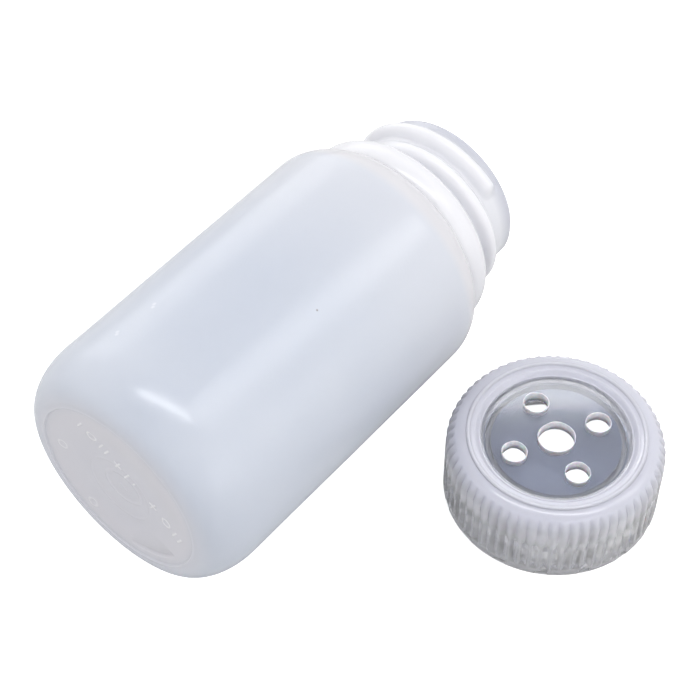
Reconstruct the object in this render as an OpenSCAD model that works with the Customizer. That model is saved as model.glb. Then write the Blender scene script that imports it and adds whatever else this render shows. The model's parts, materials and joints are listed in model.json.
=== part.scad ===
// Wide-mouth 125 mL plastic reagent bottle lying on its side, with its
// perforated screw cap standing beside it. Millimetres, +Z up, bottle mouth
// towards +X, origin at the middle of the footprint on the bench.

/* [Bottle body] */
// Outside diameter of the round body
body_d = 51; // [49:0.5:54]
// Height from the base to the mouth
bottle_h = 97.6; // [95:0.1:110]
// Wall thickness of the blown body
wall = 1.2; // [1:0.1:1.5]
// How far the heel curve reaches in from the side
heel_in = 5.9; // [5:0.1:7.5]
// How far the heel curve reaches up the side
heel_up = 11; // [9:0.1:13]
// How far the middle of the base is pushed in
push_up = 0.9; // [0.4:0.1:1.4]

/* [Neck and thread] */
// Diameter of the mouth's bore
bore_d = 28; // [26:0.5:29]
// Outside diameter over the thread
thread_d = 37.6; // [37:0.1:37.8]
// Outside diameter of the neck between the threads
neck_d = 34; // [33.4:0.1:34.4]
// Height of the neck above the shoulder's crease
neck_h = 19.5; // [19.3:0.1:20.5]
// Lead of the single-start right-hand thread
thread_pitch = 5.08; // [4.8:0.01:5.2]
// Turns of thread on the neck
thread_turns = 1.12; // [1:0.02:1.3]
// Direction of the thread's upper end, about the neck's axis
thread_start = 235; // [0:5:355]

/* [Screw cap] */
// Outside diameter over the ribs
cap_d = 42.3; // [42:0.1:43]
// Height of the cap
cap_h = 17.4; // [17:0.1:18]
// Number of grip ribs
ribs = 64; // [48:4:72]
// Depth of the valleys between ribs
rib_depth = 0.5; // [0.3:0.05:0.6]
// Thickness of the cap's top where it is drilled
plate_t = 2.2; // [2:0.1:2.4]
// Number of notches in the lower rim
rim_notches = 16; // [8:1:16]

/* [Drilled holes] */
// Diameter of the middle hole
centre_hole_d = 7.1; // [6:0.1:8]
// Diameter of each outer hole
outer_hole_d = 4.8; // [4:0.1:5.5]
// Diameter of the circle through the outer holes
hole_circle_d = 17.9; // [16:0.1:19]
// Number of outer holes
outer_holes = 4; // [3:1:5]
// Direction of the first outer hole
hole_turn = 62.3; // [0:0.1:90]

/* [Resting place] */
// Clear gap between the bottle's side and the cap's side
cap_gap = 4.5; // [1:0.1:30]
// Distance from the base plane to the cap's axis
cap_along = 66.6; // [25:0.1:75]

/* [Hidden] */
$fn = 96;
body_r = body_d / 2;
cap_r = cap_d / 2;
span_y = body_d + cap_gap + cap_d;
bottle_y = span_y / 2 - body_r;
cap_y = cap_r - span_y / 2;
cap_x = cap_along - bottle_h / 2;

// Base panel, foot and scar
foot_r = body_r - heel_in;
foot_w = 1.8;
panel_r = 13;
scar_r = 3.6;
scar_h = 0.3;

// Shoulder: an ellipse that stops at a crease, then the rounded neck step
shoulder_in = 8.8;
shoulder_up = 9.2;
crease_r = 21.3;
shoulder_c = body_r - shoulder_in;
crease_h = bottle_h - neck_h;
shoulder_top = acos((crease_r - shoulder_c) / shoulder_in);
shoulder_h = crease_h - shoulder_up * sin(shoulder_top);
neck_r = neck_d / 2;
step_out = 4.85;
step_up = 4.7;
step_low = -acos((crease_r - neck_r) / step_out);
step_h = crease_h - step_up * sin(step_low);

// Mouth
bore_r = bore_d / 2;
lip_r = neck_r - 0.35;
lip_round = 1.2;
lip_drop = 2;
mouth_edge = 0.6;
bore_low = crease_h + 5;
inner_in = shoulder_in - wall;
inner_up = shoulder_up - wall;
inner_crease_r = crease_r - 1.5;
inner_top = acos((inner_crease_r - shoulder_c) / inner_in);
inner_crease_h = shoulder_h + inner_up * sin(inner_top);

// Threads: the cap's runs half a lead below the bottle's when it is closed
thread_r = thread_d / 2;
thread_w = 4.2;
thread_top_h = bottle_h - 4.2;
thread_bury = 0.8;
thread_fade = 25;
thread_steps = 36;
cap_thread_r = neck_r + 0.35;
cap_thread_w = 1.7;
cap_thread_turns = 1.35;
cap_thread_top_z = 9.6;

// Cap shell
cap_in_r = thread_r + 0.35;
cap_plate_z = cap_h - 1.4;
cap_roof_z = cap_plate_z - plate_t;
cap_round = 4.1;
cap_edge_z = cap_h - 0.4;
bead_r = 17.2;
bead_w = 0.9;
band_r = 16;
disc_r = 15.5;
rim_h = 1.8;
rim_in_r = cap_in_r + 1.3;
plug_r = bore_r - 0.35;
plug_w = 1.1;
plug_h = 3;
notch_w = 2.9;
notch_h = 1.3;
notch_turn = 4;
slack = 0.5;

// Points along part of an ellipse, from angle a to angle b in n steps
function bow(cr, ch, rr, rh, a, b, n) = [
    for (i = [0:n]) let (t = a + (b - a) * i / n) [cr + rr * cos(t), ch + rh * sin(t)]
];

// Smooth fall from height h at radius a to zero at radius b
function fall(a, b, h, lift, n) = [
    for (i = [0:n]) [a + (b - a) * i / n, lift + h * (1 + cos(180 * i / n)) / 2]
];

// Small ring that stands out of the base panel round its middle
function scar(h) = [
    [scar_r - 0.7, h],
    [scar_r - 0.2, h - scar_h],
    [scar_r + 0.2, h - scar_h],
    [scar_r + 0.7, h]
];

function outer_profile() = concat(
    [[0, push_up]],
    scar(push_up),
    fall(panel_r, foot_r - foot_w, push_up, 0, 6),
    bow(foot_r, heel_up, heel_in, heel_up, -90, 0, 10),
    bow(shoulder_c, shoulder_h, shoulder_in, shoulder_up, 0, shoulder_top, 8),
    bow(neck_r, step_h, step_out, step_up, step_low, 90, 10),
    [[neck_r, bottle_h - lip_drop - 1]],
    bow(lip_r - lip_round, bottle_h - lip_round, lip_round, lip_round, 0, 90, 4)
);

function inner_profile() = concat(
    [[bore_r + mouth_edge, bottle_h]],
    [[bore_r, bottle_h - mouth_edge]],
    bow(bore_r, inner_crease_h, inner_crease_r - bore_r, bore_low - inner_crease_h, 90, 0, 7),
    bow(shoulder_c, shoulder_h, inner_in, inner_up, inner_top, 0, 7),
    bow(foot_r, heel_up, heel_in - wall, heel_up - wall, 0, -90, 8),
    fall(foot_r - foot_w, panel_r, -push_up, push_up + wall, 4),
    [[0, push_up + wall]]
);

// Section of a thread: buried root, round flanks, crest at depth d
function thread_section(r, d, w, s) = [
    [r - s * thread_bury, -w / 2],
    [r + s * 0.65 * d, -0.34 * w],
    [r + s * d, -0.13 * w],
    [r + s * d, 0.13 * w],
    [r + s * 0.65 * d, 0.34 * w],
    [r - s * thread_bury, w / 2]
];

// Depth of the thread at step i of n: it sinks into the wall at both ends
function thread_depth(d, i, n, turns) =
    let (edge = min(i, n - i) / n * turns * 360 / thread_fade)
    edge >= 1 ? d : -thread_bury / 2 + (d + thread_bury / 2) * edge;

// Right-hand thread on radius r, standing out when s is 1 and in when s is -1
module thread(r, d, w, turns, top_z, top_a, s) {
    n = ceil(turns * thread_steps);
    points = [
        for (i = [0:n])
            let (a = top_a - i / n * turns * 360)
            let (z = top_z - i / n * turns * thread_pitch)
            for (p = thread_section(r, thread_depth(d, i, n, turns), w, s))
                [p[0] * cos(a), p[0] * sin(a), z + p[1]]
    ];
    k = 6;
    ends = [[for (j = [0:k - 1]) j], [for (j = [k - 1:-1:0]) n * k + j]];
    sides = [
        for (i = [0:n - 1])
            for (j = [0:k - 1])
                let (m = (j + 1) % k)
                for (t = [[i * k + j, (i + 1) * k + j, (i + 1) * k + m], [i * k + j, (i + 1) * k + m, i * k + m]])
                    t
    ];
    faces = concat(ends, sides);
    polyhedron(points = points, faces = s > 0 ? faces : [for (f = faces) [for (j = [len(f) - 1:-1:0]) f[j]]]);
}

module bottle_upright() {
    rotate_extrude() polygon(concat(outer_profile(), inner_profile()));
    thread(neck_r, thread_r - neck_r, thread_w, thread_turns, thread_top_h, thread_start, 1);
}

// Outline of the ribbed skirt: round ribs that meet in sharp valleys
function rib_outline() = [
    for (i = [0:ribs * 4 - 1])
        let (r = cap_r - rib_depth * (1 - sin(45 * (i % 4))))
        let (a = i * 90 / ribs)
        [r * cos(a), r * sin(a)]
];

// Outside of the cap without its ribs: rounded shoulder, bead and sunk disc
module cap_envelope() {
    rotate_extrude() polygon(concat(
        [[0, 0], [cap_r, 0]],
        bow(cap_r - cap_round, cap_edge_z - cap_round, cap_round, cap_round, 0, 90, 8),
        bow(bead_r, cap_edge_z, bead_w / 2, cap_h - cap_edge_z, 0, 180, 6),
        [[band_r, cap_edge_z - 0.2], [disc_r, cap_edge_z - 0.1], [disc_r - 0.8, cap_plate_z]],
        [[0, cap_plate_z]]
    ));
}

module cap_cavity() {
    rotate_extrude() polygon([
        [0, -slack],
        [rim_in_r, -slack],
        [rim_in_r, rim_h],
        [cap_in_r, rim_h + 1],
        [cap_in_r, cap_roof_z - 0.8],
        [cap_in_r - 0.8, cap_roof_z],
        [0, cap_roof_z]
    ]);
}

module plug_ring() {
    rotate_extrude() polygon([
        [plug_r - plug_w, cap_roof_z + slack],
        [plug_r - plug_w, cap_roof_z - plug_h],
        [plug_r - 0.5, cap_roof_z - plug_h],
        [plug_r, cap_roof_z - plug_h + 1],
        [plug_r, cap_roof_z + slack]
    ]);
}

// Shark-fin notches through the thin lower rim
module rim_notch_cuts() {
    for (i = [0:rim_notches - 1])
        rotate([0, 0, notch_turn + i * 360 / rim_notches])
            translate([rim_in_r - slack, 0, 0])
                rotate([90, 0, 90])
                    linear_extrude(height = cap_r - rim_in_r + 2 * slack)
                        polygon([[0, -slack], [notch_w, -slack], [notch_w, notch_h], [notch_w / 2, notch_h]]);
}

module drilled_holes() {
    translate([0, 0, cap_roof_z - slack])
        cylinder(d = centre_hole_d, h = plate_t + 2 * slack);
    for (i = [0:outer_holes - 1])
        rotate([0, 0, hole_turn + i * 360 / outer_holes])
            translate([hole_circle_d / 2, 0, cap_roof_z - slack])
                cylinder(d = outer_hole_d, h = plate_t + 2 * slack);
}

module cap_upright() {
    difference() {
        union() {
            intersection() {
                cap_envelope();
                linear_extrude(height = cap_h + slack) polygon(rib_outline());
            }
            cylinder(r = cap_r, h = rim_h);
        }
        cap_cavity();
        drilled_holes();
        rim_notch_cuts();
    }
    plug_ring();
    thread(cap_in_r, cap_in_r - cap_thread_r, cap_thread_w, cap_thread_turns, cap_thread_top_z, 0, -1);
}

module bottle() {
    color([0.90, 0.92, 0.95, 0.85])
        translate([-bottle_h / 2, bottle_y, body_r])
            rotate([0, 90, 0])
                bottle_upright();
}

module screw_cap() {
    color([0.86, 0.87, 0.91, 0.75])
        translate([cap_x, cap_y, 0])
            cap_upright();
}

bottle();
screw_cap();
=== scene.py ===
"""Looks for the wide-mouth plastic bottle and its perforated screw cap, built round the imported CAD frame."""

import json
import math

import bmesh
import bpy
import numpy as np
from mathutils import Matrix, Vector


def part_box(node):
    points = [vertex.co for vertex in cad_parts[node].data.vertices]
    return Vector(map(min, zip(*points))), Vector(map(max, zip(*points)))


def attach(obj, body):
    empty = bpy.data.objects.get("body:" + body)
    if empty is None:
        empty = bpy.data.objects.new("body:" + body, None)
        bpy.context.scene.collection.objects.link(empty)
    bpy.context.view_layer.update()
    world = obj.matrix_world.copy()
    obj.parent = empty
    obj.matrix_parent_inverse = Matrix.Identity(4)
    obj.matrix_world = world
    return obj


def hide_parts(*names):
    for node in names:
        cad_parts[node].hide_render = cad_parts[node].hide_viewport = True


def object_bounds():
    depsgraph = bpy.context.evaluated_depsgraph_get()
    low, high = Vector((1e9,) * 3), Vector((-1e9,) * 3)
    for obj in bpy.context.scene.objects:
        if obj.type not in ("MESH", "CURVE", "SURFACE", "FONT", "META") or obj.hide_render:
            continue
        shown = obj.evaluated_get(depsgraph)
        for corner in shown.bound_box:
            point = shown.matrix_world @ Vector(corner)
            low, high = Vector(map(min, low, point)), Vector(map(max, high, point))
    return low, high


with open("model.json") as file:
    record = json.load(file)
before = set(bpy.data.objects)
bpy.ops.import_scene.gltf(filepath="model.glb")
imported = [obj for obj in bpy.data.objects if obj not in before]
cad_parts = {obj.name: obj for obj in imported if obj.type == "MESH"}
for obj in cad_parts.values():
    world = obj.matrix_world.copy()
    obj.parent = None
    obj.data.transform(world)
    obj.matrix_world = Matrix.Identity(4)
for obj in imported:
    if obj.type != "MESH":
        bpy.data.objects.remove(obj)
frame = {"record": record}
cad_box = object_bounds()

MM = 0.001
MOUNTS = {m["name"]: m for m in frame["record"]["mounts"]}

# ---------------------------------------------------------------- sizes, from the frame
bottle_low, bottle_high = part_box("bottle")
cap_low, cap_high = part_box("screw_cap")
BODY_R = (bottle_high[2] - bottle_low[2]) / 2
BOTTLE_H = bottle_high[0] - bottle_low[0]
BOTTLE_AXIS_Y = (bottle_high[1] + bottle_low[1]) / 2
BOTTLE_AXIS_Z = (bottle_high[2] + bottle_low[2]) / 2
BORE_R = MOUNTS["mouth_bore"]["dims"]["r_mm"] * MM
CAP_R = (cap_high[0] - cap_low[0]) / 2
CAP_H = cap_high[2] - cap_low[2]
CAP_X = (cap_high[0] + cap_low[0]) / 2
CAP_Y = (cap_high[1] + cap_low[1]) / 2
CENTRE_HOLE_R = MOUNTS["cap_centre_hole"]["dims"]["r_mm"] * MM
OUTER_HOLE_R = MOUNTS["cap_outer_holes"]["dims"]["hole_r_mm"] * MM
HOLE_CIRCLE_R = MOUNTS["cap_outer_holes"]["dims"]["pcd_mm"] * MM / 2
OUTER_HOLES = MOUNTS["cap_outer_holes"]["dims"]["count"]
HOLE_TURN = math.radians(62.3)

# ---------------------------------------------------------------- bottle sizes
WALL = 1.2 * MM
HEEL_IN = 5.9 * MM
HEEL_UP = 11 * MM
PUSH_UP = 0.9 * MM
FOOT_R = BODY_R - HEEL_IN
RIDGE_R = 18.7 * MM
RIDGE_H = 0.06 * MM
RIDGE_IN_R = RIDGE_R - 0.5 * MM
RIDGE_OUT_R = RIDGE_R + 0.35 * MM
PANEL_R = 8.5 * MM
PANEL_EDGE = 0.25 * MM
SHOULDER_IN = 8.8 * MM
SHOULDER_UP = 9.2 * MM
CREASE_R = 21.3 * MM
CREASE_H = BOTTLE_H - 19.5 * MM
SHOULDER_C = BODY_R - SHOULDER_IN
SHOULDER_TOP = math.acos((CREASE_R - SHOULDER_C) / SHOULDER_IN)
SHOULDER_H = CREASE_H - SHOULDER_UP * math.sin(SHOULDER_TOP)
NECK_R = 17 * MM
THREAD_R = 18.8 * MM
STEP_OUT = 4.85 * MM
STEP_UP = 4.7 * MM
STEP_LOW = -math.acos((CREASE_R - NECK_R) / STEP_OUT)
STEP_H = CREASE_H - STEP_UP * math.sin(STEP_LOW)
LIP_R = NECK_R - 0.35 * MM
LIP_ROUND = 1.2 * MM
LIP_DROP = 2 * MM
NECK_TOP_H = BOTTLE_H - LIP_DROP - 1 * MM
MOUTH_EDGE = 0.6 * MM
BORE_LOW = CREASE_H + 5 * MM
INNER_IN = SHOULDER_IN - WALL
INNER_UP = SHOULDER_UP - WALL
INNER_CREASE_R = CREASE_R - 1.5 * MM
INNER_TOP = math.acos((INNER_CREASE_R - SHOULDER_C) / INNER_IN)
INNER_CREASE_H = SHOULDER_H + INNER_UP * math.sin(INNER_TOP)

THREAD_PITCH = 5.08 * MM
THREAD_W = 4.6 * MM
THREAD_TURNS = 1.3
THREAD_TOP_H = BOTTLE_H - 4.2 * MM
THREAD_START = math.radians(235)
THREAD_FADE = math.radians(10)
THREAD_END_FADE = math.radians(75)
CREST_POWER = 2.6
STEEP_SIDES = 2.2

# ---------------------------------------------------------------- cap sizes
PLATE_T = MOUNTS["cap_centre_hole"]["dims"]["length_mm"] * MM
CAP_PLATE_Z = CAP_H - 1.4 * MM
CAP_ROOF_Z = CAP_PLATE_Z - PLATE_T
CAP_EDGE_Z = CAP_H - 0.4 * MM
CAP_ROUND = 4.1 * MM
BEAD_R = 17.2 * MM
BEAD_W = 0.9 * MM
BAND_R = 16 * MM
DISC_R = 15.3 * MM
DISC_EDGE_R = DISC_R - 0.6 * MM
DROP_TOP_R = DISC_R + 0.5 * MM
DROP_TOP_Z = CAP_EDGE_Z - 0.15 * MM
AXIS_R = 0.3 * MM
ROOF_R = 13.9 * MM
ROOF_CORNER = 0.8 * MM
RIM_H = 1.8 * MM
RIM_ROUND = 0.3 * MM
RIB_FOOT_H = RIM_H + 1.1 * MM
CAP_IN_R = THREAD_R + 0.35 * MM
RIM_IN_R = CAP_IN_R + 1.3 * MM
RIM_SLOPE_Z = RIM_H + 1 * MM
CAP_THREAD_R = NECK_R + 0.35 * MM
CAP_THREAD_W = 2.3 * MM
CAP_THREAD_TURNS = 1.35
CAP_THREAD_TOP_Z = 9.6 * MM
PLUG_R = BORE_R - 0.35 * MM
PLUG_W = 1.1 * MM
PLUG_H = 3 * MM
PLUG_TIP = 0.4 * MM
RIBS = 64
RIB_DEPTH = 0.65 * MM
RIB_TURN = math.radians(4)
RIB_FOOT_SLOPE = 0.75
RIB_FADE = (math.radians(15), math.radians(52))
RIM_NOTCHES = 16
NOTCH_W = 2.9 * MM
NOTCH_H = 1.4 * MM
NOTCH_TURN = math.radians(4)


# ---------------------------------------------------------------- shape tools
def bow(cr, ch, rr, rh, a, b, n):
    """Points (radius, height) along part of an ellipse, from angle a to angle b in radians."""
    t = np.linspace(a, b, n + 1)
    return np.stack([cr + rr * np.cos(t), ch + rh * np.sin(t)], axis=1)


def line(a, b, n):
    """Points (radius, height) from a to b in n steps, both ends included."""
    t = np.linspace(0, 1, n + 1)[:, None]
    return np.array(a) * (1 - t) + np.array(b) * t


def fall(a, b, h, lift, n):
    """Smooth fall of height h from radius a to radius b, ending at height lift."""
    t = np.linspace(0, 1, n + 1)
    return np.stack([a + (b - a) * t, lift + h * (1 + np.cos(np.pi * t)) / 2], axis=1)


def joined(*runs):
    """One profile from several runs, without doubled points."""
    points = np.concatenate(runs)
    keep = np.hypot(*np.diff(points, axis=0).T) > 1e-7
    return points[np.concatenate([[True], keep])]


def angles(n):
    return np.arange(n) * 2 * np.pi / n


def ring_grid(radius, height, phi):
    """Vertices of a lathe surface: radius and height are arrays of rings by angles."""
    x = radius * np.cos(phi)
    y = radius * np.sin(phi)
    return np.stack([x, y, np.broadcast_to(height, x.shape)], axis=-1)


def mesh_from_grid(name, grid, closed_ring=False):
    """Mesh from rings. The first and last rings end in a point each, or join when closed_ring is set."""
    rings, segments, _ = grid.shape
    verts = grid.reshape(-1, 3)
    i = np.arange(segments)
    j = (i + 1) % segments
    steps = rings if closed_ring else rings - 1
    faces = []
    for k in range(steps):
        a = k * segments
        b = ((k + 1) % rings) * segments
        faces.append(np.stack([a + i, b + i, b + j, a + j], axis=1))
    faces = np.concatenate(faces).tolist()
    verts = verts.tolist()
    if not closed_ring:
        for ring, flip in ((0, False), (rings - 1, True)):
            verts.append(grid[ring].mean(axis=0).tolist())
            tip = len(verts) - 1
            base = ring * segments
            for p in range(segments):
                q = (p + 1) % segments
                faces.append([tip, base + q, base + p] if flip else [tip, base + p, base + q])
    mesh = bpy.data.meshes.new(name)
    mesh.from_pydata(verts, [], faces)
    mesh.validate()
    mesh.update()
    return mesh


def outward(mesh):
    """Turns all faces of a closed mesh outward."""
    bm = bmesh.new()
    bm.from_mesh(mesh)
    bmesh.ops.recalc_face_normals(bm, faces=bm.faces)
    if bm.calc_volume(signed=True) < 0:
        bmesh.ops.reverse_faces(bm, faces=bm.faces)
    bm.to_mesh(mesh)
    bm.free()
    return mesh


def place(name, mesh, matrix, material):
    """Puts a mesh in the scene with its place in its vertices."""
    mesh.transform(matrix)
    obj = bpy.data.objects.new(name, mesh)
    bpy.context.scene.collection.objects.link(obj)
    mesh.materials.clear()
    mesh.materials.append(material)
    return obj


def cut(obj, cutter):
    """Takes the cutter out of the object and deletes the cutter."""
    mod = obj.modifiers.new("cut", "BOOLEAN")
    mod.operation = "DIFFERENCE"
    mod.solver = "MANIFOLD"
    mod.object = cutter
    bpy.context.view_layer.update()
    done = bpy.data.meshes.new_from_object(obj.evaluated_get(bpy.context.evaluated_depsgraph_get()))
    obj.modifiers.clear()
    obj.data = done
    bpy.data.objects.remove(cutter)


def helix_depth(height, phi, top_h, top_a, turns, width, steep=False):
    """0 to 1: how far a one-start right-hand thread stands out. Its crest is round, or flat if steep."""
    out = np.zeros(np.broadcast(height, phi).shape)
    total = turns * 2 * np.pi
    first = np.mod(top_a - phi, 2 * np.pi)
    for turn in range(int(math.ceil(turns)) + 1):
        t = first + 2 * np.pi * turn
        centre = top_h - THREAD_PITCH * t / (2 * np.pi)
        edge = np.clip(np.minimum(t / THREAD_FADE, (total - t) / THREAD_END_FADE), 0, 1)
        fade = edge * edge * (3 - 2 * edge)
        u = np.clip(np.abs(height - centre) / (width / 2), 0, 1)
        crest = np.clip(STEEP_SIDES * (1 - u), 0, 1) if steep else (1 - u ** CREST_POWER) ** 2
        out = np.maximum(out, fade * crest)
    return out


# ---------------------------------------------------------------- bottle
BOTTLE_SEGMENTS = 384
BOTTLE_MATRIX = (
    Matrix.Translation((bottle_low[0], BOTTLE_AXIS_Y, BOTTLE_AXIS_Z))
    @ Matrix.Rotation(math.radians(90), 4, "Y")
)


def bottle_outside():
    dome = line((0, PUSH_UP), (PANEL_R, PUSH_UP), 42)
    rise = fall(PANEL_R, RIDGE_IN_R, PUSH_UP - PANEL_EDGE, PANEL_EDGE, 58)
    rim = fall(RIDGE_IN_R, RIDGE_R - 0.2 * MM, PANEL_EDGE + RIDGE_H, -RIDGE_H, 5)
    ridge = fall(RIDGE_R - 0.1 * MM, RIDGE_OUT_R, -RIDGE_H, 0, 5)
    foot = line((RIDGE_OUT_R, 0), (FOOT_R, 0), 4)
    heel = bow(FOOT_R, HEEL_UP, HEEL_IN, HEEL_UP, -math.pi / 2, 0, 60)
    wall = line((BODY_R, HEEL_UP), (BODY_R, SHOULDER_H), 60)
    shoulder = bow(SHOULDER_C, SHOULDER_H, SHOULDER_IN, SHOULDER_UP, 0, SHOULDER_TOP, 40)
    step = bow(NECK_R, STEP_H, STEP_OUT, STEP_UP, STEP_LOW, math.pi / 2, 50)
    neck = line((NECK_R, STEP_H + STEP_UP), (NECK_R, NECK_TOP_H), 60)
    taper = line((NECK_R, NECK_TOP_H), (LIP_R, BOTTLE_H - LIP_ROUND), 10)
    lip = bow(LIP_R - LIP_ROUND, BOTTLE_H - LIP_ROUND, LIP_ROUND, LIP_ROUND, 0, math.pi / 2, 12)
    return joined(dome, rise, rim, ridge, foot, heel, wall, shoulder, step, neck, taper, lip)


def bottle_inside():
    edge = bow(BORE_R + MOUTH_EDGE, BOTTLE_H - MOUTH_EDGE, -MOUTH_EDGE, MOUTH_EDGE, math.pi / 2, 0, 6)
    bore = line((BORE_R, BOTTLE_H - MOUTH_EDGE), (BORE_R, BORE_LOW), 10)
    throat_in, throat_up = INNER_CREASE_R - BORE_R, BORE_LOW - INNER_CREASE_H
    throat = bow(BORE_R, INNER_CREASE_H, throat_in, throat_up, math.pi / 2, 0, 16)
    shoulder = bow(SHOULDER_C, SHOULDER_H, INNER_IN, INNER_UP, INNER_TOP, 0, 16)
    wall = line((BODY_R - WALL, SHOULDER_H), (BODY_R - WALL, HEEL_UP), 12)
    heel = bow(FOOT_R, HEEL_UP, HEEL_IN - WALL, HEEL_UP - WALL, 0, -math.pi / 2, 16)
    rise = fall(RIDGE_IN_R, PANEL_R, -PUSH_UP, PUSH_UP + WALL, 10)
    floor = line((PANEL_R, PUSH_UP + WALL), (0.2 * MM, PUSH_UP + WALL), 8)
    return joined(edge, bore, throat, shoulder, wall, heel, rise, floor)


def bar(x, y, centre, angle, length, width):
    """Soft raised bar, 0 to 1."""
    u = (x - centre[0]) * np.cos(angle) + (y - centre[1]) * np.sin(angle)
    v = -(x - centre[0]) * np.sin(angle) + (y - centre[1]) * np.cos(angle)
    far = np.hypot(np.maximum(np.abs(u) - length / 2, 0), v) / (width / 2)
    return np.clip(1.6 * (1 - far), 0, 1)


def hoop(x, y, centre, radius, width, stretch=1.0):
    """Soft raised ring, 0 to 1."""
    far = np.abs(np.hypot(x - centre[0], (y - centre[1]) * stretch) - radius) / (width / 2)
    return np.clip(1.6 * (1 - far), 0, 1)


MARK_LINE = (np.array((-12.2, 8.1)) * MM, math.atan2(-22.4, 15.2))
MARK_PLACES = (
    (0, "bar"), (3.0, "ring"), (6.2, "pair"), (10.0, "cross"), (12.6, "bar"),
    (14.6, "dot"), (19.8, "cross"), (23.6, "ring"), (26.9, "pair"),
)
MARK_SIZE = 2.5 * MM
MARK_STROKE = 0.5 * MM
MARK_H = 0.13 * MM
SINGLE_MARKS = ((-0.8, 14.2), (12.5, 8.2))
SCAR_C, SCAR_R, SCAR_H = (-0.4 * MM, -0.85 * MM), 3.8 * MM, 0.12 * MM
HALO_C, HALO_R, HALO_H = (1.0 * MM, 0.1 * MM), 7.3 * MM, 0.05 * MM
DENT_OUT_R = 16.3 * MM
DENT_DEEP_R = 5.3 * MM
DENT_A = math.radians(-28)
DENT_SPAN = math.radians(24)
DENT_H = 0.45 * MM


def stroke(x, y, centre, turn, kind):
    """One plain embossed mark: a bar, a ring, a pair of bars, a cross or a dot."""
    upright, side = turn + math.pi / 2, np.array((math.cos(turn), math.sin(turn)))
    tall = MARK_SIZE * 0.8
    if kind == "ring":
        return hoop(x, y, centre, MARK_SIZE * 0.4, MARK_STROKE)
    if kind == "dot":
        return bar(x, y, centre, upright, MARK_SIZE * 0.2, MARK_STROKE)
    if kind == "bar":
        return bar(x, y, centre, upright, tall, MARK_STROKE)
    if kind == "pair":
        spots_at = [centre + side * k * MARK_SIZE * 0.3 for k in (-1, 1)]
        return np.maximum(*[bar(x, y, spot, upright, tall, MARK_STROKE) for spot in spots_at])
    return np.maximum(
        bar(x, y, centre, upright, tall, MARK_STROKE),
        bar(x, y, centre, turn, MARK_SIZE * 0.7, MARK_STROKE),
    )


def base_marks(x, y):
    """Plain embossed marks in a row across the base, and two fainter rings, in place of any writing."""
    start, turn = MARK_LINE
    step = np.array((math.cos(turn), math.sin(turn)))
    out = np.zeros(x.shape)
    for along, kind in MARK_PLACES:
        out = np.maximum(out, stroke(x, y, start + step * along * MM, turn, kind))
    for place_mm in SINGLE_MARKS:
        out = np.maximum(out, 0.6 * stroke(x, y, np.array(place_mm) * MM, turn, "ring"))
    return out


def base_relief(radius, phi):
    """Height that marks, moulding scars and the crescent dent add to the base, along the bottle's axis."""
    x, y = radius * np.cos(phi), radius * np.sin(phi)
    out = -MARK_H * base_marks(x, y)
    out -= SCAR_H * hoop(x, y, SCAR_C, SCAR_R, 0.8 * MM, 0.9) + HALO_H * hoop(x, y, HALO_C, HALO_R, 0.7 * MM)
    out -= SCAR_H * bar(x, y, SCAR_C, math.radians(-50), 1.6 * MM, 0.5 * MM)
    turn = (np.mod(phi - DENT_A + np.pi, 2 * np.pi) - np.pi) / DENT_SPAN
    deep = DENT_DEEP_R * np.sqrt(np.clip(1 - turn ** 2, 0, 1)) + 1e-9
    slope = np.clip((radius - DENT_OUT_R + deep) / deep, 0, 1)
    edge = np.clip((DENT_OUT_R + 0.3 * MM - radius) / (0.3 * MM), 0, 1)
    return out + DENT_H * slope ** 1.3 * edge * np.clip(1 - turn ** 2, 0, 1) ** 0.5


WAVE_FADE = 8 * MM


def waviness(height, phi):
    """Slow unevenness of a blown wall, a few hundredths of a millimetre."""
    slow = np.sin(2 * phi + 0.7) * np.sin(height / (19 * MM) + 1.1)
    fast = np.sin(5 * phi + height / (13 * MM)) * np.sin(height / (8 * MM))
    return 0.05 * MM * slow + 0.015 * MM * fast


def make_bottle(material):
    outside, inside = bottle_outside(), bottle_inside()
    phi = angles(BOTTLE_SEGMENTS)[None, :]
    radius = outside[:, :1] + 0 * phi
    height = outside[:, 1:] + 0 * phi
    neck = (height > CREASE_H) & (height < BOTTLE_H - LIP_ROUND)
    stand = helix_depth(height, phi, THREAD_TOP_H, THREAD_START, THREAD_TURNS, THREAD_W)
    crest = NECK_R + (THREAD_R - NECK_R) * stand
    radius = np.where(neck & (radius < THREAD_R), np.maximum(radius, crest), radius)
    body = np.clip((height - HEEL_UP) / WAVE_FADE, 0, 1) * np.clip((CREASE_H - height) / WAVE_FADE, 0, 1)
    radius = radius - np.abs(waviness(height, phi)) * body
    on_base = (height < 2 * MM) & (radius < RIDGE_IN_R)
    height = height + np.where(on_base, base_relief(radius, phi), 0)
    outer = ring_grid(radius, height, phi)
    inner = ring_grid(inside[:, :1] + 0 * phi, inside[:, 1:] + 0 * phi, phi)
    mesh = outward(mesh_from_grid("bottle_shell", np.concatenate([outer[1:], inner])))
    marks = np.zeros(len(mesh.vertices), dtype=np.float32)
    outer_marks = np.where(on_base, base_marks(radius * np.cos(phi), radius * np.sin(phi)), 0)[1:].ravel()
    marks[:len(outer_marks)] = outer_marks
    mesh.attributes.new("mark", "FLOAT", "POINT").data.foreach_set("value", marks)
    obj = place("bottle_shell", mesh, BOTTLE_MATRIX, material)
    mesh.shade_smooth()
    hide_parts("bottle")
    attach(obj, "bottle")
    return obj


# ---------------------------------------------------------------- screw cap
RIB_STEPS = 10
CAP_SEGMENTS = RIBS * RIB_STEPS
CAVITY_SEGMENTS = 320
CAP_MATRIX = Matrix.Translation((CAP_X, CAP_Y, cap_low[2]))


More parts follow.
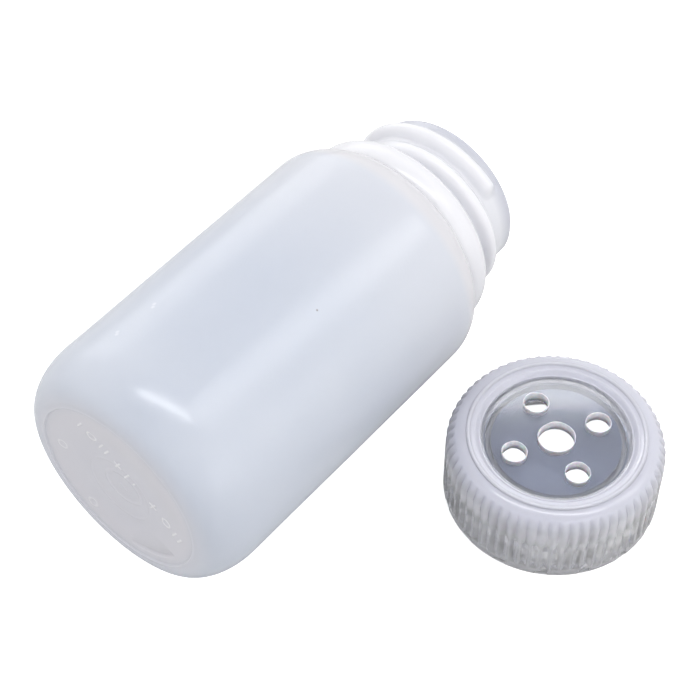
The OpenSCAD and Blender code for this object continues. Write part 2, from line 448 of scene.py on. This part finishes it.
def cap_outside():
    low = joined(
        line((AXIS_R, 0), (CAP_R - RIM_ROUND, 0), 3),
        bow(CAP_R - RIM_ROUND, RIM_ROUND, RIM_ROUND, RIM_ROUND, -math.pi / 2, 0, 4),
        line((CAP_R, RIM_ROUND), (CAP_R, RIM_H - 0.2 * MM), 3),
    )
    foot = line((CAP_R, RIM_H + 0.1 * MM), (CAP_R, RIB_FOOT_H), 6)
    skirt = line((CAP_R, RIB_FOOT_H), (CAP_R, CAP_EDGE_Z - CAP_ROUND), 10)
    shoulder = bow(CAP_R - CAP_ROUND, CAP_EDGE_Z - CAP_ROUND, CAP_ROUND, CAP_ROUND, 0, math.pi / 2, 32)
    bead = bow(BEAD_R - 0.15 * MM, CAP_EDGE_Z, BEAD_W / 2, CAP_H - CAP_EDGE_Z, 0, math.pi, 10)
    band = line((BAND_R, CAP_EDGE_Z - 0.2 * MM), (DROP_TOP_R, DROP_TOP_Z), 3)
    drop = fall(DROP_TOP_R, DISC_EDGE_R, DROP_TOP_Z - CAP_PLATE_Z, CAP_PLATE_Z, 14)
    edge = line((DISC_EDGE_R, CAP_PLATE_Z), (DISC_EDGE_R - 2 * MM, CAP_PLATE_Z), 2)
    disc = line((DISC_EDGE_R - 2 * MM, CAP_PLATE_Z), (AXIS_R, CAP_PLATE_Z), 5)
    return joined(low, foot, skirt, shoulder, bead, band, drop, edge, disc)


def make_cap_solid(material):
    profile = cap_outside()
    phi = angles(CAP_SEGMENTS)[None, :]
    radius = profile[:, :1] + 0 * phi
    height = profile[:, 1:] + 0 * phi
    round_z = CAP_EDGE_Z - CAP_ROUND
    tilt = np.where(height > round_z, np.arctan2(height - round_z, radius - (CAP_R - CAP_ROUND)), 0)
    fade = np.clip((tilt - RIB_FADE[0]) / (RIB_FADE[1] - RIB_FADE[0]), 0, 1)
    groove = 1 - np.abs(np.sin(RIBS * (phi - RIB_TURN) / 2))
    depth = RIB_DEPTH * groove * (1 - fade ** 2.5)
    depth = np.clip(np.minimum(depth, (height - RIM_H) * RIB_FOOT_SLOPE), 0, None)
    depth = np.where(radius > BEAD_R + BEAD_W, depth, 0)
    radius, height = radius - depth * np.cos(tilt), height - depth * np.sin(tilt)
    mesh = outward(mesh_from_grid("screw_cap_shell", ring_grid(radius, height, phi)))
    return place("screw_cap_shell", mesh, Matrix.Identity(4), material)


def cap_cavity_cutter(material):
    below = -1 * MM
    plug_low = CAP_ROOF_Z - PLUG_H + PLUG_TIP
    profile = joined(
        line((AXIS_R, CAP_ROOF_Z), (PLUG_R - PLUG_W, CAP_ROOF_Z), 5),
        line((PLUG_R - PLUG_W, CAP_ROOF_Z), (PLUG_R - PLUG_W, plug_low), 4),
        bow(PLUG_R - PLUG_W / 2, plug_low, -PLUG_W / 2, -PLUG_TIP, 0, math.pi, 10),
        line((PLUG_R, plug_low), (PLUG_R, CAP_ROOF_Z), 4),
        line((PLUG_R, CAP_ROOF_Z), (CAP_IN_R - ROOF_CORNER, CAP_ROOF_Z), 5),
        bow(CAP_IN_R - ROOF_CORNER, CAP_ROOF_Z - ROOF_CORNER, ROOF_CORNER, ROOF_CORNER, math.pi / 2, 0, 6),
        line((CAP_IN_R, CAP_ROOF_Z - ROOF_CORNER), (CAP_IN_R, RIM_SLOPE_Z), 50),
        line((CAP_IN_R, RIM_SLOPE_Z), (RIM_IN_R, RIM_H), 4),
        line((RIM_IN_R, RIM_H), (RIM_IN_R, below), 2),
        line((RIM_IN_R, below), (AXIS_R, below), 3),
    )
    phi = angles(CAVITY_SEGMENTS)[None, :]
    radius = profile[:, :1] + 0 * phi
    height = profile[:, 1:] + 0 * phi
    stand = helix_depth(height, phi, CAP_THREAD_TOP_Z, 0, CAP_THREAD_TURNS, CAP_THREAD_W, True)
    wall = (radius > CAP_IN_R - 0.01 * MM) & (height > RIM_H + 0.5 * MM)
    radius = np.where(wall, np.minimum(radius, CAP_IN_R - (CAP_IN_R - CAP_THREAD_R) * stand), radius)
    mesh = outward(mesh_from_grid("cavity", ring_grid(radius, height, phi)))
    return place("cavity", mesh, Matrix.Identity(4), material)


def hole_places():
    """Centre and radius of every drilled hole, the middle one first."""
    places = [(0.0, 0.0, CENTRE_HOLE_R)]
    for k in range(OUTER_HOLES):
        a = HOLE_TURN + k * 2 * math.pi / OUTER_HOLES
        places.append((HOLE_CIRCLE_R * math.cos(a), HOLE_CIRCLE_R * math.sin(a), OUTER_HOLE_R))
    return places


HOLE_WOBBLE = 0.06 * MM
HOLE_SEED = 40
BURR_SEED = 70


def hole_wobble(phi, seed):
    """Unevenness of a hand-drilled hole, to be multiplied by HOLE_WOBBLE. Its draws start from the seed."""
    rng = np.random.default_rng(seed)
    out = np.zeros(phi.shape)
    for k in (2, 3, 5, 8, 13):
        out = out + rng.normal() / k * np.cos(k * phi + rng.uniform(0, 2 * np.pi))
    return out


def hole_cutter(k, x, y, radius, material):
    phi = angles(96)[None, :]
    z = np.linspace(CAP_ROOF_Z - 1 * MM, CAP_PLATE_Z + 1 * MM, 12)[:, None]
    r = radius + HOLE_WOBBLE * hole_wobble(phi, HOLE_SEED + k) + 0 * z
    mesh = outward(mesh_from_grid("drill", ring_grid(r, z + 0 * phi, phi)))
    return place("drill", mesh, Matrix.Translation((x, y, 0)), material)


def make_burrs(material):
    """Pale torn lining that a drill leaves in every hole, standing a little above the disc."""
    phi = angles(120)[None, :]
    for k, (x, y, radius) in enumerate(hole_places()):
        rng = np.random.default_rng(BURR_SEED + k)
        torn = np.zeros(phi.shape)
        for wave in (2, 3, 5, 9, 17, 29):
            torn = torn + rng.normal() / wave ** 0.6 * np.cos(wave * phi + rng.uniform(0, 2 * np.pi))
        torn = np.clip(0.4 + 0.35 * torn, 0, 1)
        edge = radius + HOLE_WOBBLE * hole_wobble(phi, HOLE_SEED + k)
        rings = [
            (edge + 0.05 * MM, CAP_ROOF_Z + 0.1 * MM),
            (edge - 0.05 * MM, CAP_ROOF_Z - 0.15 * MM * torn),
            (edge - 0.09 * MM * (0.5 + torn), (CAP_ROOF_Z + CAP_PLATE_Z) / 2),
            (edge - 0.10 * MM * (0.4 + torn), CAP_PLATE_Z - 0.1 * MM),
            (edge - 0.04 * MM, CAP_PLATE_Z + (0.03 + 0.2 * torn) * MM),
            (edge + 0.04 * MM, CAP_PLATE_Z + (0.02 + 0.17 * torn) * MM),
            (edge + 0.16 * MM * (0.3 + torn), CAP_PLATE_Z - 0.03 * MM),
        ]
        grid = np.concatenate([ring_grid(r + 0 * phi, z + 0 * phi, phi) for r, z in rings])
        mesh = outward(mesh_from_grid(f"burr_{k}", grid.reshape(len(rings), -1, 3), closed_ring=True))
        obj = place(f"burr_{k}", mesh, CAP_MATRIX @ Matrix.Translation((x, y, 0)), material)
        mesh.shade_smooth()
        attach(obj, "screw_cap")


def notch_cutter(k, material):
    """Shark-fin prism: upright on one side, sloping on the other."""
    depth_in, depth_out = RIM_IN_R - 0.5 * MM, CAP_R + 0.5 * MM
    outline = [(0, -0.5 * MM), (NOTCH_W, -0.5 * MM), (NOTCH_W, NOTCH_H - 0.15 * MM)]
    outline += [(NOTCH_W - 0.15 * MM, NOTCH_H), (NOTCH_W / 2, NOTCH_H), (NOTCH_W / 4, NOTCH_H * 0.7)]
    n = len(outline)
    verts = [(x, s, z) for x in (depth_in, depth_out) for s, z in outline]
    faces = [list(range(n)), list(range(n, 2 * n))]
    faces += [[i, (i + 1) % n, n + (i + 1) % n, n + i] for i in range(n)]
    mesh = bpy.data.meshes.new("notch")
    mesh.from_pydata(verts, [], faces)
    turn = Matrix.Rotation(NOTCH_TURN + k * 2 * math.pi / RIM_NOTCHES, 4, "Z")
    return place("notch", outward(mesh), turn, material)


def make_cap(material):
    obj = make_cap_solid(material)
    cut(obj, cap_cavity_cutter(material))
    for k, (x, y, r) in enumerate(hole_places()):
        cut(obj, hole_cutter(k, x, y, r, material))
    for k in range(RIM_NOTCHES):
        cut(obj, notch_cutter(k, material))
    obj.data.transform(CAP_MATRIX)
    obj.data.shade_smooth()
    obj.data.set_sharp_from_angle(angle=math.radians(38))
    obj.data.materials.clear()
    obj.data.materials.append(material)
    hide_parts("screw_cap")
    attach(obj, "screw_cap")
    return obj


# ---------------------------------------------------------------- node tools
def new_material(name):
    material = bpy.data.materials.new(name)
    material.use_nodes = True
    tree = material.node_tree
    return material, tree, tree.nodes["Principled BSDF"]


def add(tree, kind, **values):
    """Adds a node. Names that are properties are set on it, others on its input sockets."""
    node = tree.nodes.new(kind)
    for key, value in values.items():
        if hasattr(node, key):
            setattr(node, key, value)
        else:
            node.inputs[key.replace("_", " ")].default_value = value
    return node


def grey(tone):
    return (tone,) * 3


def ramp(tree, source, stops):
    """Eased grey ramp over a 0 to 1 value. stops are (position, grey)."""
    node = add(tree, "ShaderNodeValToRGB")
    node.color_ramp.interpolation = "EASE"
    for k, (position, tone) in enumerate(stops):
        element = node.color_ramp.elements[k] if k < 2 else node.color_ramp.elements.new(position)
        element.position = position
        element.color = (*grey(tone), 1)
    tree.links.new(source, node.inputs[0])
    return node.outputs["Color"]


def maths(tree, operation, a, b=None, clamp=False):
    node = add(tree, "ShaderNodeMath", operation=operation, use_clamp=clamp)
    for socket, value in zip(node.inputs, (a, b)):
        if value is None:
            continue
        if isinstance(value, (int, float)):
            socket.default_value = value
        else:
            tree.links.new(value, socket)
    return node.outputs[0]


def mixed(tree, factor, a, b):
    """Colour a where factor is 0 and b where it is 1."""
    node = add(tree, "ShaderNodeMix", data_type="RGBA")
    for socket, value in ((node.inputs[0], factor), (node.inputs[6], a), (node.inputs[7], b)):
        if isinstance(value, bpy.types.NodeSocket):
            tree.links.new(value, socket)
        else:
            socket.default_value = value if isinstance(value, (int, float)) else (*value, 1)
    return node.outputs[2]


def noise(tree, vector, scale, detail=3.0, roughness=0.5):
    node = add(tree, "ShaderNodeTexNoise", Scale=scale, Detail=detail, Roughness=roughness)
    tree.links.new(vector, node.inputs["Vector"])
    return node.outputs["Fac"]


def span(tree, value, low, high):
    """0 at low, 1 at high, clamped."""
    node = add(tree, "ShaderNodeMapRange", clamp=True)
    node.inputs["From Min"].default_value = low
    node.inputs["From Max"].default_value = high
    tree.links.new(value, node.inputs["Value"])
    return node.outputs["Result"]


def bump(tree, height, strength, distance, under=None):
    node = add(tree, "ShaderNodeBump", Strength=strength, Distance=distance)
    tree.links.new(height, node.inputs["Height"])
    if under:
        tree.links.new(under, node.inputs["Normal"])
    return node.outputs["Normal"]


def split(tree, vector):
    """X, Y and Z of a vector."""
    node = add(tree, "ShaderNodeSeparateXYZ")
    tree.links.new(vector, node.inputs[0])
    return node.outputs["X"], node.outputs["Y"], node.outputs["Z"]


def flat_length(tree, a, b):
    """Length of the flat vector (a, b)."""
    square = maths(tree, "ADD", maths(tree, "MULTIPLY", a, a), maths(tree, "MULTIPLY", b, b))
    return maths(tree, "SQRT", square)


def distance_from(tree, x, y):
    """Distance from the vertical axis through (x, y), height, and place, all in the object's own frame."""
    where = add(tree, "ShaderNodeTexCoord").outputs["Object"]
    along_x, along_y, height = split(tree, where)
    dx = maths(tree, "SUBTRACT", along_x, x)
    dy = maths(tree, "SUBTRACT", along_y, y)
    return flat_length(tree, dx, dy), height, where


# ---------------------------------------------------------------- materials
def spots(tree, where, places, radius):
    """1 within a small radius of any of the places, 0 elsewhere."""
    total = None
    for place_at in places:
        node = add(tree, "ShaderNodeVectorMath", operation="DISTANCE")
        tree.links.new(where, node.inputs[0])
        node.inputs[1].default_value = place_at
        near = span(tree, node.outputs["Value"], radius, radius * 0.4)
        total = near if total is None else maths(tree, "MAXIMUM", total, near)
    return total


def on_body(along, angle_deg):
    """Point on the bottle's side: mm from the base plane, and degrees about the axis from +Y towards up."""
    a = math.radians(angle_deg)
    x = bottle_low[0] + along * MM
    return (x, BOTTLE_AXIS_Y + BODY_R * math.cos(a), BOTTLE_AXIS_Z + BODY_R * math.sin(a))


def on_disc(angle_deg, radius):
    """Point on the cap's sunk disc, radius in mm."""
    a = math.radians(angle_deg)
    return (CAP_X + radius * MM * math.cos(a), CAP_Y + radius * MM * math.sin(a), cap_low[2] + CAP_PLATE_Z)


BODY_TONES = (0.52, 0.555, 0.63), (0.555, 0.585, 0.65)
UPPER_BODY = (0.595, 0.615, 0.67)
SHOULDER_TONE = (0.64, 0.635, 0.665)
NECK_TONES = (0.70, 0.705, 0.74), (0.735, 0.735, 0.765)
SHADED_LIP_TONE = (0.50, 0.51, 0.57)
BASE_TONE = (0.635, 0.63, 0.68)
MARK_HIGHLIGHT_TONE = (0.86, 0.86, 0.88)
SPECK_TONE = (0.30, 0.29, 0.30)
SCUFF_TONE = (0.62, 0.64, 0.70)
SPECKS = ((41.6, 120), (0.8, 168))
SPECK_R = 0.28 * MM
SCUFFS = ((22.3, 68), (23.1, 67), (14.4, 65), (13.8, 66))
SCUFF_R = 0.5 * MM


def hdpe():
    """Milky natural polyethylene: thin blue-white body, whiter where the neck is thick."""
    material, tree, shader = new_material("bottle_hdpe")
    where = add(tree, "ShaderNodeTexCoord").outputs["Object"]
    x, y, z = split(tree, where)
    along = maths(tree, "SUBTRACT", x, bottle_low[0])
    dy = maths(tree, "SUBTRACT", y, BOTTLE_AXIS_Y)
    dz = maths(tree, "SUBTRACT", z, BOTTLE_AXIS_Z)
    out = flat_length(tree, dy, dz)
    cloud = noise(tree, where, 26, 2, 0.45)
    body = mixed(tree, span(tree, cloud, 0.38, 0.62), *BODY_TONES)
    colour = mixed(tree, span(tree, along, 40 * MM, SHOULDER_H), body, UPPER_BODY)
    thick = span(tree, along, SHOULDER_H + 1 * MM, SHOULDER_H + 3 * MM)
    colour = mixed(tree, thick, colour, SHOULDER_TONE)
    neck = span(tree, along, CREASE_H - 0.5 * MM, CREASE_H + 0.5 * MM)
    crest = span(tree, out, NECK_R + 0.1 * MM, NECK_R + 1.4 * MM)
    colour = mixed(tree, neck, colour, mixed(tree, crest, *NECK_TONES))
    # Darker bluish lip band: partly the thinner wall's own tint, partly painted shade for the lip's shaded
    # side.
    lip = span(tree, along, BOTTLE_H - 4.5 * MM, BOTTLE_H - 1.5 * MM)
    colour = mixed(tree, lip, colour, SHADED_LIP_TONE)
    low = span(tree, along, 3.5 * MM, 0.5 * MM)
    within = span(tree, out, FOOT_R + 3 * MM, RIDGE_R - 2 * MM)
    colour = mixed(tree, maths(tree, "MULTIPLY", low, within), colour, BASE_TONE)
    # Paler colour on the embossed base marks: painted highlight, standing in for the light their raised
    # strokes catch.
    mark = add(tree, "ShaderNodeAttribute", attribute_name="mark").outputs["Fac"]
    colour = mixed(tree, maths(tree, "MULTIPLY", mark, 0.8), colour, MARK_HIGHLIGHT_TONE)
    specks = spots(tree, where, [on_body(*place_at) for place_at in SPECKS], SPECK_R)
    colour = mixed(tree, specks, colour, SPECK_TONE)
    scuffs = spots(tree, where, [on_body(*place_at) for place_at in SCUFFS], SCUFF_R)
    colour = mixed(tree, scuffs, colour, SCUFF_TONE)
    tree.links.new(colour, shader.inputs["Base Color"])
    grain = noise(tree, where, 2000, 2, 0.5)
    patchy = noise(tree, where, 90, 3, 0.5)
    rough = mixed(tree, span(tree, patchy, 0.3, 0.7), grey(0.215), grey(0.265))
    tree.links.new(rough, shader.inputs["Roughness"])
    fine = bump(tree, grain, 0.35, 0.03 * MM)
    slow = bump(tree, noise(tree, where, 110, 1, 0.4), 0.06, 0.2 * MM, fine)
    tree.links.new(slow, shader.inputs["Normal"])
    shader.inputs["IOR"].default_value = 1.53
    shader.inputs["Subsurface Weight"].default_value = 0.6
    shader.inputs["Subsurface Radius"].default_value = (1.0, 1.0, 1.0)
    shader.inputs["Subsurface Scale"].default_value = 2.5 * MM
    return material


SKIRT_TONES = (0.95, 0.95, 0.98), (0.98, 0.98, 0.995)
CROWN_TONE = (0.69, 0.695, 0.775)
DISC_TONE = (0.86, 0.88, 0.93)
SHADED_UNDERSIDE_TONE = (0.42, 0.48, 0.66)
SCRATCH_TONE = (0.62, 0.62, 0.70)
SKIRT_ROUGH, CROWN_ROUGH, DISC_ROUGH = grey(0.07), grey(0.15), grey(0.06)
SKIRT_CLEAR, CROWN_CLEAR, UNDER_CLEAR, DISC_CLEAR = grey(0.84), grey(0.38), grey(0.75), grey(0.97)


def polypropylene():
    """Translucent grey-white moulded plastic: clearer skirt, milky top, glossy sunk disc."""
    material, tree, shader = new_material("cap_polypropylene")
    out, height, where = distance_from(tree, CAP_X, CAP_Y)
    grain = noise(tree, where, 1400, 2, 0.5)
    window = span(tree, out, DISC_R - 0.5 * MM, DISC_R - 0.9 * MM)
    inside = span(tree, out, ROOF_R + 0.3 * MM, ROOF_R - 0.2 * MM)
    above = span(tree, height, CAP_ROOF_Z - PLUG_H, CAP_ROOF_Z - 0.2 * MM)
    face = maths(tree, "MULTIPLY", window, span(tree, height, CAP_ROOF_Z + 0.3 * MM, CAP_ROOF_Z + 0.6 * MM))
    under = maths(tree, "MULTIPLY", inside, maths(tree, "SUBTRACT", above, face, True))
    disc = maths(tree, "MAXIMUM", face, under)
    cloud = noise(tree, where, 60, 2, 0.5)
    skirt = mixed(tree, span(tree, cloud, 0.35, 0.65), *SKIRT_TONES)
    crown = span(tree, height, 9 * MM, CAP_PLATE_Z)
    shell = mixed(tree, crown, skirt, CROWN_TONE)
    colour = mixed(tree, face, shell, DISC_TONE)
    # Dark blue underside of the plate and plug: partly the plastic's blue tint, partly painted shade that
    # darkens the disc over the shadowed cavity.
    colour = mixed(tree, under, colour, SHADED_UNDERSIDE_TONE)
    colour = mixed(tree, scratches(tree, where), colour, SCRATCH_TONE)
    tree.links.new(colour, shader.inputs["Base Color"])
    rough = mixed(tree, disc, mixed(tree, crown, SKIRT_ROUGH, CROWN_ROUGH), DISC_ROUGH)
    tree.links.new(rough, shader.inputs["Roughness"])
    milky = mixed(tree, crown, SKIRT_CLEAR, CROWN_CLEAR)
    clear = mixed(tree, face, mixed(tree, under, milky, UNDER_CLEAR), DISC_CLEAR)
    tree.links.new(clear, shader.inputs["Transmission Weight"])
    tree.links.new(bump(tree, grain, 0.05, 0.02 * MM), shader.inputs["Normal"])
    shader.inputs["IOR"].default_value = 1.49
    shader.inputs["Subsurface Weight"].default_value = 0.5
    shader.inputs["Subsurface Radius"].default_value = (1.0, 1.0, 1.0)
    shader.inputs["Subsurface Scale"].default_value = 2.0 * MM
    return material


NICKS = ((-178, 12.6), (-107, 12), (-35, 11.8), (64, 10.7), (-197, 11))
NICK_R = 0.22 * MM
SCRATCH_ARCS = (
    (-176, -130, 12.4, (0, 0.1)),
    (-127, -76, 12.3, (0.25, -0.1)),
    (-100, -70, 12.6, (0.4, 0)),
)
SCRATCH_HALF_W = 0.09 * MM


def scratches(tree, where):
    """Faint nicks (angle, radius in mm) and arcs (start, end, radius, shift of centre) on the cap's disc."""
    x, y, _ = split(tree, where)
    total = spots(tree, where, [on_disc(a, r) for a, r in NICKS], NICK_R)
    for start, end, radius, shift in SCRATCH_ARCS:
        dx = maths(tree, "SUBTRACT", x, CAP_X + shift[0] * MM)
        dy = maths(tree, "SUBTRACT", y, CAP_Y + shift[1] * MM)
        off = maths(tree, "ABSOLUTE", maths(tree, "SUBTRACT", flat_length(tree, dx, dy), radius * MM))
        turn = maths(tree, "ARCTAN2", dy, dx)
        middle, half = math.radians((start + end) / 2), math.radians((end - start) / 2)
        near = span(tree, maths(tree, "ABSOLUTE", maths(tree, "SUBTRACT", turn, middle)), half, half * 0.8)
        mask = maths(tree, "MULTIPLY", span(tree, off, SCRATCH_HALF_W, SCRATCH_HALF_W / 3), near)
        total = maths(tree, "MAXIMUM", total, maths(tree, "MULTIPLY", mask, 0.7))
    return total


TORN_TONES = (0.74, 0.74, 0.80), (0.93, 0.93, 0.96)


def torn_plastic():
    """Whitish stress-marked plastic of the drilled edges."""
    material, tree, shader = new_material("cap_burr")
    where = add(tree, "ShaderNodeTexCoord").outputs["Object"]
    cloud = noise(tree, where, 900, 3, 0.6)
    colour = mixed(tree, span(tree, cloud, 0.35, 0.65), *TORN_TONES)
    tree.links.new(colour, shader.inputs["Base Color"])
    tree.links.new(bump(tree, noise(tree, where, 2200, 2, 0.5), 0.3, 0.03 * MM), shader.inputs["Normal"])
    shader.inputs["Roughness"].default_value = 0.4
    shader.inputs["Subsurface Weight"].default_value = 0.4
    shader.inputs["Subsurface Scale"].default_value = 0.5 * MM
    return material


# Place and half-widths of the painted contact shadow ring under the cap's rim.
SHADOW_RING_IN = 0.8 * MM
SHADOW_RING_HALF_W = (0.55 * MM, 0.75 * MM)
FLOOR_GLOW = 0.8


def bench():
    """Pale table top that glows for the camera only, except in a thin ring under the cap's rim that does not
    glow, as a painted contact shadow.
    """
    material, tree, shader = new_material("white_bench")
    where = add(tree, "ShaderNodeTexCoord").outputs["Object"]
    tone = noise(tree, where, 8, 2, 0.5)
    tree.links.new(ramp(tree, tone, ((0.3, 0.64), (0.7, 0.67))), shader.inputs["Base Color"])
    shader.inputs["Roughness"].default_value = 0.9
    shader.inputs["Specular IOR Level"].default_value = 0.1
    shader.inputs["Emission Color"].default_value = (1, 1, 1, 1)
    seen = add(tree, "ShaderNodeLightPath").outputs["Is Camera Ray"]
    out, _, _ = distance_from(tree, CAP_X, CAP_Y)
    # The ring without glow under the cap's rim is a painted contact shadow; it stays on the floor when the cap
    # is lifted.
    off_shadow_ring = maths(tree, "ABSOLUTE", maths(tree, "SUBTRACT", out, CAP_R - SHADOW_RING_IN))
    glow = maths(tree, "MULTIPLY", span(tree, off_shadow_ring, *SHADOW_RING_HALF_W), FLOOR_GLOW)
    tree.links.new(maths(tree, "MULTIPLY", seen, glow), shader.inputs["Emission Strength"])
    return material


# ---------------------------------------------------------------- studio
LOOK_AT = Vector((6.36, 14.23, 20)) * MM
CAMERA_TURN = math.radians(-50.21)
CAMERA_RISE = math.radians(51.58)
CAMERA_FAR = 377.74 * MM
LENS_MM = 99.3
FLOOR_HALF = 3.0


def make_camera():
    data = bpy.data.cameras.new("camera")
    data.lens = LENS_MM
    data.sensor_width = 36
    data.clip_start = 0.01
    data.clip_end = 20
    camera = bpy.data.objects.new("camera", data)
    bpy.context.scene.collection.objects.link(camera)
    back = Vector((
        math.sin(CAMERA_TURN) * math.cos(CAMERA_RISE),
        -math.cos(CAMERA_TURN) * math.cos(CAMERA_RISE),
        math.sin(CAMERA_RISE),
    ))
    camera.location = LOOK_AT + back * CAMERA_FAR
    camera.rotation_mode = "QUATERNION"
    camera.rotation_quaternion = (-back).to_track_quat("-Z", "Y")
    bpy.context.scene.camera = camera


def make_floor():
    mesh = bpy.data.meshes.new("floor")
    half = FLOOR_HALF
    corners = [(-half, -half, 0), (half, -half, 0), (half, half, 0), (-half, half, 0)]
    mesh.from_pydata(corners, [], [(0, 1, 2, 3)])
    floor = place("floor", mesh, Matrix.Translation((0, 0, cad_box[0][2])), bench())


def area_light(name, towards, azimuth, elevation, distance, size, watts):
    """Rectangular light at a distance from the point it faces. Azimuth 0 stands on the -Y side, 90 on +X."""
    data = bpy.data.lights.new(name, "AREA")
    data.shape = "RECTANGLE"
    data.size, data.size_y = size
    data.energy = watts
    light = bpy.data.objects.new(name, data)
    bpy.context.scene.collection.objects.link(light)
    a, e = math.radians(azimuth), math.radians(elevation)
    back = Vector((math.sin(a) * math.cos(e), -math.cos(a) * math.cos(e), math.sin(e)))
    light.location = towards + back * distance
    light.rotation_mode = "QUATERNION"
    light.rotation_quaternion = (-back).to_track_quat("-Z", "Y")
    return light


END_WALL, LONG_WALL = 0.90, 1.30
CEILING = (0.55, 0.55, 0.565)
CEILING_FROM = (0.76, 0.84)


def make_world():
    """Soft white room: walls brighter on the two long sides, ceiling dimmer."""
    world = bpy.data.worlds.new("studio")
    bpy.context.scene.world = world
    world.use_nodes = True
    tree = world.node_tree
    _, y, z = split(tree, add(tree, "ShaderNodeTexCoord").outputs["Generated"])
    walls = mixed(tree, maths(tree, "MULTIPLY", y, y), grey(END_WALL), grey(LONG_WALL))
    room = mixed(tree, span(tree, z, *CEILING_FROM), walls, CEILING)
    tree.links.new(room, tree.nodes["Background"].inputs["Color"])
    tree.nodes["Background"].inputs["Strength"].default_value = 1.0


def make_lights():
    centre = Vector((0, 0, 0.02))
    area_light("softbox", centre, 45, 50, 0.9, (0.24, 0.45), 0.8)
    area_light("strip", centre, 20, 86, 0.9, (0.08, 0.80), 2.8)
    area_light("backdrop", centre, 152, 17, 1.2, (0.8, 0.55), 1.2)
    area_light("fill", centre, -135, 30, 1.0, (0.8, 0.8), 0.3)
    area_light("front", centre, 5, 14, 1.2, (0.9, 0.5), 1.1)
    disc = Vector((CAP_X, CAP_Y, CAP_H))
    window = area_light("window", disc, 131, 47.3, 0.9, (0.60, 0.18), 2.2)
    shown = bpy.data.collections.new("seen_by_window")
    shown.objects.link(bpy.data.objects["screw_cap_shell"])
    window.light_linking.receiver_collection = shown


bpy.context.scene.view_settings.view_transform = "Standard"
make_camera()
make_floor()
make_world()
make_bottle(hdpe())
make_cap(polypropylene())
make_burrs(torn_plastic())
make_lights()
